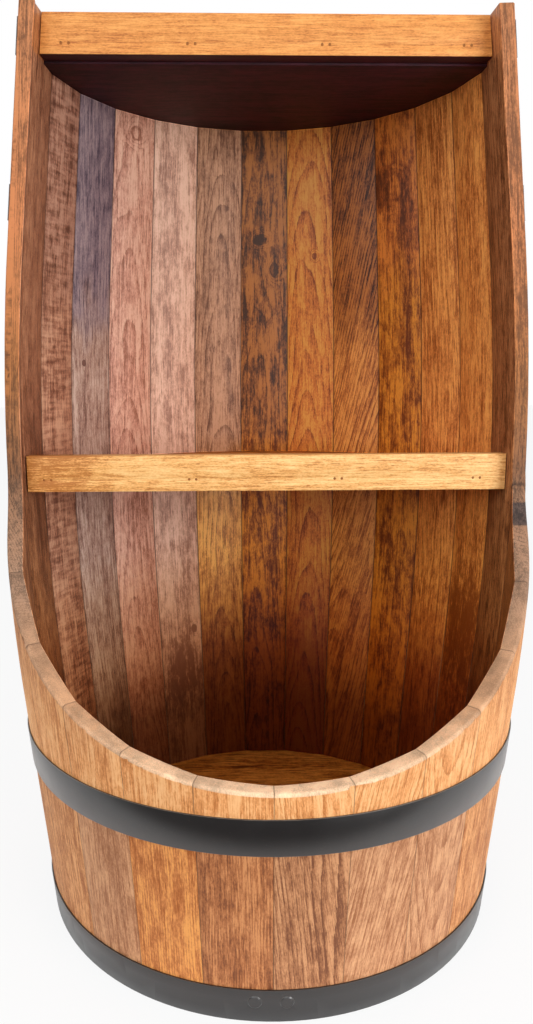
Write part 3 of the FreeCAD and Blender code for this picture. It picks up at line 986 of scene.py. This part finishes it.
@dataclass
class Cask:
    """The staves. Lengths are in mm, angles in degrees and areas in square mm.

    A rim step is the shortest edge that the rim keeps, and a hole face the largest face of a nail hole.
    """

    stave_count: int = 25
    first_joint: float = -1.3
    end_radius: float = 237.0
    bend_start: float = 225.0
    bend_rise: float = 22.8
    height: float = 900.0
    thickness: float = 16.0
    edge: float = 0.5
    outer_lip_edge: float = 3.2
    inner_lip_edge: float = 1.2
    upright_edge: float = 1.6
    upright_staves: tuple[int, ...] = (7, 20)
    rim_step: float = 1.5
    hole_face: float = 4.0
    face_reach: float = 0.5

    def outside_radius(self, height: float) -> float:
        """Outside radius of the cask.

        Args:
            height: Height above the ground, in mm.

        Returns:
            The radius, in mm.
        """
        slope = self.bend_rise / self.bend_start
        from_end = min(height, self.height - height)
        if from_end <= self.bend_start:
            return self.end_radius + slope * from_end
        half = self.height / 2 - self.bend_start
        past = from_end - self.bend_start
        return self.end_radius + self.bend_rise + slope * (past - past ** 2 / (2 * half))

    def middle(self, number: int) -> float:
        """Angle of a stave's middle line from the front, to the right, in degrees."""
        return self.first_joint + (number - 0.5) * 360.0 / self.stave_count

    def on_board(self, point: Vector, number: int) -> Vector:
        """Place of a point on its stave: across, out from the outside face and along it, in mm.

        Args:
            point: The point in the frame, in metres.
            number: The stave's number.

        Returns:
            The place.
        """
        turned = Matrix.Rotation(math.radians(-self.middle(number)), 3, "Z") @ point / MM
        return Vector((turned.x, -turned.y - self.outside_radius(turned.z), turned.z))

    def half_width(self, place: Vector) -> float:
        """Half of a stave's width at a place on it, in mm."""
        radius = place.y + self.outside_radius(place.z)
        return radius * math.tan(math.pi / self.stave_count)

    def side(self, face: bmesh.types.BMFace, number: int) -> Side:
        """Finds which side of its stave a face belongs to.

        Args:
            face: The face.
            number: The stave's number.

        Returns:
            The side.
        """
        near = self.face_reach
        places = [self.on_board(vertex.co, number) for vertex in face.verts]
        rounds = [
            math.hypot(vertex.co.x, vertex.co.y) / MM - self.outside_radius(place.z)
            for vertex, place in zip(face.verts, places)
        ]
        if all(abs(depth) < near for depth in rounds):
            return Side.OUTSIDE
        if all(abs(place.y + self.thickness) < near for place in places):
            return Side.INSIDE
        if all(abs(self.half_width(place) - abs(place.x)) < near for place in places):
            return Side.JOINT
        if all(min(place.z, self.height - place.z) < near for place in places):
            return Side.END
        return Side.SAWN

    def rim_edges(self, shape: bmesh.types.BMesh, number: int, towards: Side) -> list[bmesh.types.BMEdge]:
        """Finds one edge of the opening's rim.

        Args:
            shape: The stave.
            number: Its number.
            towards: Whether the edge towards the outside or towards the inside is meant.

        Returns:
            The edges.
        """
        found = []
        for edge in shape.edges:
            if not edge.is_manifold or edge.calc_face_angle() < SHARP:
                continue
            sides = {self.side(face, number) for face in edge.link_faces}
            smallest = min(face.calc_area() for face in edge.link_faces)
            is_drilled = number in self.upright_staves and smallest < self.hole_face * MM ** 2
            if sides == {Side.SAWN, towards} and not is_drilled:
                found.append(edge)
        return found

    def round_rim(self, shape: bmesh.types.BMesh, number: int, towards: Side, width: float) -> None:
        """Rounds one edge of the opening's rim, as it was sanded by hand.

        Args:
            shape: The stave.
            number: Its number.
            towards: Whether the edge towards the outside or towards the inside is rounded.
            width: How far the rounding reaches, in mm.
        """
        edges = self.rim_edges(shape, number, towards)
        corners = list({vertex for edge in edges for vertex in edge.verts})
        bmesh.ops.remove_doubles(shape, verts=corners, dist=self.rim_step * MM)
        edges = self.rim_edges(shape, number, towards)
        if edges:
            ease_edges(shape, width * MM, edges, "sanded", segments=4, is_clamped=False)

    def joint_edges(self, shape: bmesh.types.BMesh, number: int) -> list[bmesh.types.BMEdge]:
        """Sharp edges of a stave, but for those across the rim, which its neighbours close flush.

        Args:
            shape: The stave.
            number: Its number.

        Returns:
            The edges.
        """
        sanded = shape.faces.layers.float.get("sanded")
        found = []
        for edge in shape.edges:
            if not edge.is_manifold or edge.calc_face_angle() < SHARP:
                continue
            on_rim = any(
                (sanded and face[sanded] > 0) or self.side(face, number) is Side.SAWN
                for face in edge.link_faces
            )
            if not on_rim:
                found.append(edge)
        return found

    def build(self, woods: dict[int, StaveWood]) -> None:
        """Makes and dresses every stave.

        Args:
            woods: The wood of each stave by its number.
        """
        for number in range(1, self.stave_count + 1):
            node = f"stave_{number:02d}"
            shape = merged_copy(node)
            upright = number in self.upright_staves
            outer_edge = self.upright_edge if upright else self.outer_lip_edge
            self.round_rim(shape, number, Side.OUTSIDE, outer_edge)
            self.round_rim(shape, number, Side.INSIDE, self.inner_lip_edge)
            ease_edges(shape, self.edge * MM, self.joint_edges(shape, number))
            finish = StaveFinish(f"cask_oak_{number:02d}", woods[number])
            piece = new_piece(f"{node}_oak", shape, node, finish.material())
            places = [self.on_board(vertex.co, number) for vertex in piece.data.vertices]
            write_board(piece, places)
            widths = piece.data.attributes.new("half_width", "FLOAT", "POINT")
            for item, place in zip(widths.data, places):
                item.value = self.half_width(place)
            log.info("%s: %d faces", piece.name, len(piece.data.polygons))


@dataclass
class Boards:
    """Rails, shelf, top board and floor, whose grain runs across the cask."""

    edge: float = 0.9

    def build(self, finishes: dict[str, tuple[BoardFinish, str]]) -> None:
        """Makes and dresses every board.

        Args:
            finishes: Each CAD node's finish and a slot name for it.
        """
        for node, (finish, slot) in finishes.items():
            shape = merged_copy(node)
            ease_edges(shape, self.edge * MM)
            piece = new_piece(f"{node}_wood", shape, node, finish.material())
            low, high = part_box(node)
            middle = (low + high) / 2
            places = []
            for vertex in piece.data.vertices:
                point = (vertex.co - middle) / MM
                flat = (point.y, point.z) if "board" in node else (point.z, point.y)
                places.append(Vector((*flat, point.x)))
            write_board(piece, places)
            log.info("%s: %d faces", piece.name, len(piece.data.polygons))


@dataclass
class Ironwork:
    """Hoops, rivets, nails and brads."""

    edge: float = 0.35

    def build(self, finishes: dict[str, SteelFinish]) -> None:
        """Makes and dresses the steel pieces.

        Args:
            finishes: Each CAD node's finish.
        """
        for node, finish in finishes.items():
            shape = merged_copy(node)
            ease_edges(shape, self.edge * MM)
            piece = new_piece(f"{node}_steel", shape, node, finish.material())
            log.info("%s: %d faces", piece.name, len(piece.data.polygons))


# --- studio ----------------------------------------------------------------------------------------


@dataclass
class Softbox:
    """One large soft lamp that looks at the cabinet."""

    name: str
    place: Vector
    size: tuple[float, float]
    power: float
    colour: str = WHITE
    aim: Vector = field(default_factory=lambda: Vector((0.0, 0.0, 0.45)))

    def build(self) -> None:
        """Makes the lamp."""
        lamp = bpy.data.lights.new(self.name, "AREA")
        lamp.shape = "RECTANGLE"
        lamp.size, lamp.size_y = self.size
        lamp.energy = self.power
        lamp.color = linear(self.colour)[:3]
        holder = bpy.data.objects.new(self.name, lamp)
        holder.location = self.place
        holder.rotation_euler = (self.aim - self.place).to_track_quat("-Z", "Y").to_euler()
        bpy.context.scene.collection.objects.link(holder)


@dataclass
class Camera:
    """A camera just above the shelf, close in front of the cabinet."""

    place: Vector = field(default_factory=lambda: Vector((-0.0345, -0.8188, 0.5379)))
    pitch: float = -0.1619
    yaw: float = 0.0222
    roll: float = -0.0035
    focal: float = 770.0
    centre_x: float = 252.6

    def build(self) -> None:
        """Makes the camera and looks through it. Its focal length and centre are in image pixels."""
        lens = bpy.data.cameras.new("front_camera")
        lens.sensor_width = SENSOR
        lens.lens = self.focal / IMAGE_HEIGHT * SENSOR
        lens.shift_x = (IMAGE_WIDTH / 2 - self.centre_x) / IMAGE_HEIGHT
        lens.clip_start = 0.02
        camera = bpy.data.objects.new("front_camera", lens)
        turned = Matrix.Rotation(-self.yaw, 4, "Z") @ Matrix.Rotation(math.pi / 2 + self.pitch, 4, "X")
        camera.matrix_world = Matrix.Translation(self.place) @ turned @ Matrix.Rotation(self.roll, 4, "Z")
        bpy.context.scene.collection.objects.link(camera)
        bpy.context.scene.camera = camera


@dataclass
class Studio:
    """A room with pale walls behind and beside the cabinet, a dim front and a sheet of pale paper."""

    side_light: float = 0.7
    front_light: float = 0.12
    floor_half: float = 20.0
    floor_white: float = 0.86
    paper: str = "#ececec"
    dim_floor: str = "#3c3a38"
    paper_front: float = -0.3
    paper_end: float = -0.44
    lamps: tuple[Softbox, ...] = (
        Softbox("right_softbox", Vector((1.55, -1.75, 0.65)), (1.3, 1.3), 38.0),
        Softbox("left_softbox", Vector((-1.6, -1.8, 1.2)), (1.3, 1.3), 15.0),
        Softbox("front_softbox", Vector((-0.3, -2.6, 0.9)), (2.2, 1.0), 14.0),
        Softbox("top_softbox", Vector((0.0, -1.3, 2.1)), (1.8, 1.2), 10.0),
    )

    def build(self) -> None:
        """Makes the room."""
        for lamp in self.lamps:
            lamp.build()
        self._world()
        self._floor()
        bpy.context.scene.view_settings.view_transform = "Standard"

    def _world(self) -> None:
        """Light from the walls, dim from the front, and plain white where the camera looks."""
        world = bpy.data.worlds.new("pale_room")
        bpy.context.scene.world = world
        world.use_nodes = True
        tree = world.node_tree
        tree.nodes.clear()
        direction = add_node(tree, "ShaderNodeTexCoord").outputs["Generated"]
        depth = add_node(tree, "ShaderNodeSeparateXYZ", {0: direction}).outputs["Y"]
        walls = add_node(
            tree,
            "ShaderNodeMapRange",
            {
                "Value": depth,
                "From Min": -0.85,
                "From Max": -0.25,
                "To Min": self.front_light,
                "To Max": self.side_light,
            },
            interpolation_type="SMOOTHSTEP",
        )
        ray = add_node(tree, "ShaderNodeLightPath")
        strength = add_node(
            tree,
            "ShaderNodeMix",
            {"Factor": ray.outputs["Is Camera Ray"], "A": walls.outputs["Result"], "B": 1.0},
            data_type="FLOAT",
        )
        light = add_node(
            tree, "ShaderNodeBackground", {"Color": linear(WHITE), "Strength": strength.outputs["Result"]}
        )
        output = add_node(tree, "ShaderNodeOutputWorld")
        tree.links.new(light.outputs["Background"], output.inputs["Surface"])

    def _floor(self) -> None:
        """Pale paper that the camera sees white, with the cabinet's soft shadow on it."""
        material, tree, output = new_material("pale_floor_paper")
        ray = add_node(tree, "ShaderNodeLightPath").outputs["Is Camera Ray"]
        place = add_node(tree, "ShaderNodeTexCoord").outputs["Object"]
        depth = add_node(tree, "ShaderNodeSeparateXYZ", {0: place}).outputs["Y"]
        beyond = add_node(
            tree,
            "ShaderNodeMapRange",
            {"Value": depth, "From Min": self.paper_front, "From Max": self.paper_end},
            interpolation_type="SMOOTHSTEP",
        )
        seen = add_node(tree, "ShaderNodeMath", {0: 1.0, 1: ray}, operation="SUBTRACT")
        share = add_node(
            tree,
            "ShaderNodeMath",
            {0: beyond.outputs["Result"], 1: seen.outputs["Value"]},
            operation="MULTIPLY",
        )
        colour = add_node(
            tree,
            "ShaderNodeMix",
            {"Factor": share.outputs["Value"], "A": linear(self.paper), "B": linear(self.dim_floor)},
            data_type="RGBA",
        )
        paper = add_node(
            tree, "ShaderNodeBsdfPrincipled", {"Base Color": colour.outputs["Result"], "Roughness": 0.8}
        )
        glow = add_node(tree, "ShaderNodeEmission", {"Color": linear(WHITE), "Strength": 1.0})
        white = add_node(tree, "ShaderNodeMath", {0: ray, 1: self.floor_white}, operation="MULTIPLY")
        mix = add_node(
            tree,
            "ShaderNodeMixShader",
            {0: white.outputs["Value"], 1: paper.outputs["BSDF"], 2: glow.outputs["Emission"]},
        )
        tree.links.new(mix.outputs["Shader"], output.inputs["Surface"])
        shape = bmesh.new()
        bmesh.ops.create_grid(shape, x_segments=1, y_segments=1, size=self.floor_half)
        mesh = bpy.data.meshes.new("studio_floor")
        shape.to_mesh(mesh)
        shape.free()
        mesh.materials.append(material)
        floor = bpy.data.objects.new("studio_floor", mesh)
        bpy.context.scene.collection.objects.link(floor)


# --- what each piece is made of -----------------------------------------------------------------------


def stave_woods() -> dict[int, StaveWood]:
    """The wood of each stave: old cask oak from many different planks.

    Returns:
        The woods by stave number.
    """
    flat, rift, quarter = Cut.FLAT, Cut.RIFT, Cut.QUARTER
    honey, amber, brown, straw = Stain.OILED_HONEY, Stain.OILED_AMBER, Stain.OILED_BROWN, Stain.OILED_STRAW
    umber = Stain.UMBER
    return {
        1: StaveWood(umber, Stain.OILED_DRIFT, Figure(rift, 3.0, 0.5, slope=-8.0, seed=1.1,
                                          smudges=(Smudge(15.0, 105.0, 12.0, 60.0, 0.2),))),
        2: StaveWood(umber, straw, Figure(rift, 3.0, 0.4, slope=9.0, seed=2.3)),
        3: StaveWood(umber, straw, Figure(rift, 4.0, 0.45, lean=-6.0, heart=-60.0, seed=3.7)),
        4: StaveWood(umber, honey, Figure(quarter, seed=4.1)),
        5: StaveWood(umber, honey, Figure(rift, seed=5.9)),
        6: StaveWood(umber, honey, Figure(quarter, seed=6.3), patch=(395.0, 417.0)),
        7: StaveWood(umber, honey, Figure(rift, seed=7.7)),
        8: StaveWood(Stain.AMBER, amber, Figure(
            quarter, seed=8.2, smudges=(Smudge(-4.0, 250.0, 34.0, 90.0, 0.5),))),
        9: StaveWood(Stain.AMBER, honey, Figure(rift, 3.0, 0.25, seed=9.4)),
        10: StaveWood(Stain.CHESTNUT, amber, Figure(
            flat, 2.8, 0.25, clouds=0.9, lean=1.2, heart=-8.0, seed=10.6,
            knots=(Knot(2.0, 775.0, 12.0, 1.2, 0.2, 4.0, 0.0),)), Stain.RUSSET, 680.0, DAMP_STAIN_AND_SHADE),
        11: StaveWood(Stain.GINGER, brown, Figure(rift, 2.4, 0.5, 1.0, slope=-13.0, seed=11.5),
                      Stain.WALNUT, 610.0, DAMP_STAIN_AND_SHADE),
        12: StaveWood(Stain.ORANGE, amber, Figure(
            flat, 2.6, 0.4, 0.6, 0.5, lean=2.6, heart=2.0, seed=12.8,
            knots=(Knot(-6.0, 706.0, 3.0, depth=0.5),))),
        13: StaveWood(Stain.CHESTNUT, brown, Figure(
            flat, 2.4, 0.4, clouds=1.1, lean=1.4, heart=10.0, seed=13.1,
            knots=(Knot(6.0, 728.0, 8.0, 0.8, 0.45, 4.0), Knot(-13.0, 690.0, 6.0, 1.4, 0.3, 3.0, 0.3))),
                      Stain.DARK_OAK, 450.0),
        14: StaveWood(Stain.HONEY, honey, Figure(flat, 2.4, 0.4, lean=1.8, heart=-6.0, seed=14.9),
                      Stain.TAN, 420.0),
        # Staves 15 to 17 take tones that hold a painted sheen.
        15: StaveWood(Stain.PALE_ROSE_SHEEN, straw, Figure(
            flat, 3.2, 0.2, clouds=0.8, lean=1.2, heart=14.0, seed=15.2,
            knots=(Knot(-20.0, 203.0, 4.0),), smudges=(Smudge(-4.0, 140.0, 22.0, 60.0, 0.6),)),
                      soaked_and_shaded=FOOT_STAIN_AND_SHADE),
        16: StaveWood(Stain.ROSE_SHEEN, honey, Figure(
            flat, 2.6, 0.35, lean=2.2, heart=4.0, seed=16.6,
            knots=(Knot(-1.0, 838.0, 8.0, 1.0, 0.4, 3.0, 0.2),)), soaked_and_shaded=FOOT_STAIN_AND_SHADE),
        17: StaveWood(Stain.DUSTY_ROSE_SHEEN, brown, Figure(
            rift, 2.6, 0.25, seed=17.4, knots=(Knot(11.0, 566.0, 3.0),)), Stain.SLATE_SHEEN, 620.0, FOOT_STAIN_AND_SHADE),
        18: StaveWood(Stain.ROSE_BROWN, honey, Figure(quarter, 2.6, 0.2, ripples=0.6, seed=18.3),
                      Stain.MAUVE, 640.0, FOOT_STAIN_AND_SHADE),
        19: StaveWood(Stain.CHESTNUT_ROSE, amber, Figure(
            quarter, seed=19.8, smudges=(Smudge(0.0, 430.0, 40.0, 140.0, 0.25),))),
        20: StaveWood(Stain.CHESTNUT_ROSE, honey, Figure(rift, seed=20.5)),
        21: StaveWood(umber, honey, Figure(quarter, seed=21.7)),
        22: StaveWood(umber, honey, Figure(rift, seed=22.2)),
        23: StaveWood(umber, straw, Figure(rift, 3.0, 0.3, lean=3.0, heart=-20.0, seed=23.6)),
        24: StaveWood(umber, amber, Figure(quarter, clouds=0.8, seed=24.4)),
        25: StaveWood(umber, brown, Figure(quarter, 2.4, 0.3, 0.8, seed=25.9)),
    }


def board_finishes() -> dict[str, tuple[BoardFinish, str]]:
    """The finish and a slot name of each board.

    Returns:
        Finish and slot by CAD node.
    """
    fine = Figure(Cut.QUARTER, 2.6, 0.1, 0.7, 0.35, seed=31.0)
    finer = Figure(Cut.QUARTER, 2.6, 0.1, 0.7, 0.35, seed=32.0,
                   smudges=(Smudge(0.0, -225.0, 60.0, 50.0, 0.35),))
    golden = Tones("#b2632b", "#dd8f46", "#f0a85c")
    straw = Tones("#bb7434", "#f0b066", "#fed08c")
    # Nearly black tones of the top board, which also paint shade on the rails' undersides.
    dark = Tones("#1d050c", "#38111e", "#4e1827")
    honey = Tones("#743208", "#c87524", "#f2a042")
    finishes = {
        "top_rail": (BoardFinish("top_rail_pine", golden, fine, dark), "rail_pine"),
        "shelf_rail": (BoardFinish("shelf_rail_pine", straw, finer, dark), "rail_pine"),
        "top_board": (
            BoardFinish("top_board_oak", dark, Figure(Cut.RIFT, seed=33.0), roughness=0.7), "board_oak"
        ),
        "shelf_board": (BoardFinish("shelf_board_oak", honey, Figure(Cut.RIFT, seed=34.0)), "board_oak"),
    }
    for number in range(1, 5):
        figure = Figure(Cut.FLAT, 3.0, 0.4, lean=1.5, heart=float(6 * number - 15), seed=34.0 + number)
        finishes[f"floor_board_{number}"] = (BoardFinish(f"floor_oak_{number}", honey, figure), "floor_oak")
    return finishes


def steel_finishes() -> dict[str, SteelFinish]:
    """The finish of each steel piece.

    Returns:
        Finish by CAD node.
    """
    hoops = ("bottom_hoop", "lower_hoop", "upper_hoop", "top_hoop")
    finishes = {node: SteelFinish(f"{node}_satin_paint") for node in hoops}
    for node in ("bottom_hoop_rivets", "hoop_nails"):
        finishes[node] = SteelFinish(f"{node}_satin_paint")
    for node in ("shelf_rail_brads", "top_rail_brads"):
        finishes[node] = SteelFinish(f"{node}_rusted_steel", "#9a5a20", "#b0702c", 0.7, 0.0)
    return finishes


def main() -> None:
    """Builds the cabinet's looks, the studio and the camera."""
    logging.basicConfig(level=logging.INFO, format="%(name)s: %(message)s")
    Camera().build()
    Cask().build(stave_woods())
    Boards().build(board_finishes())
    Ironwork().build(steel_finishes())
    Studio().build()


if __name__ == "__main__":
    main()
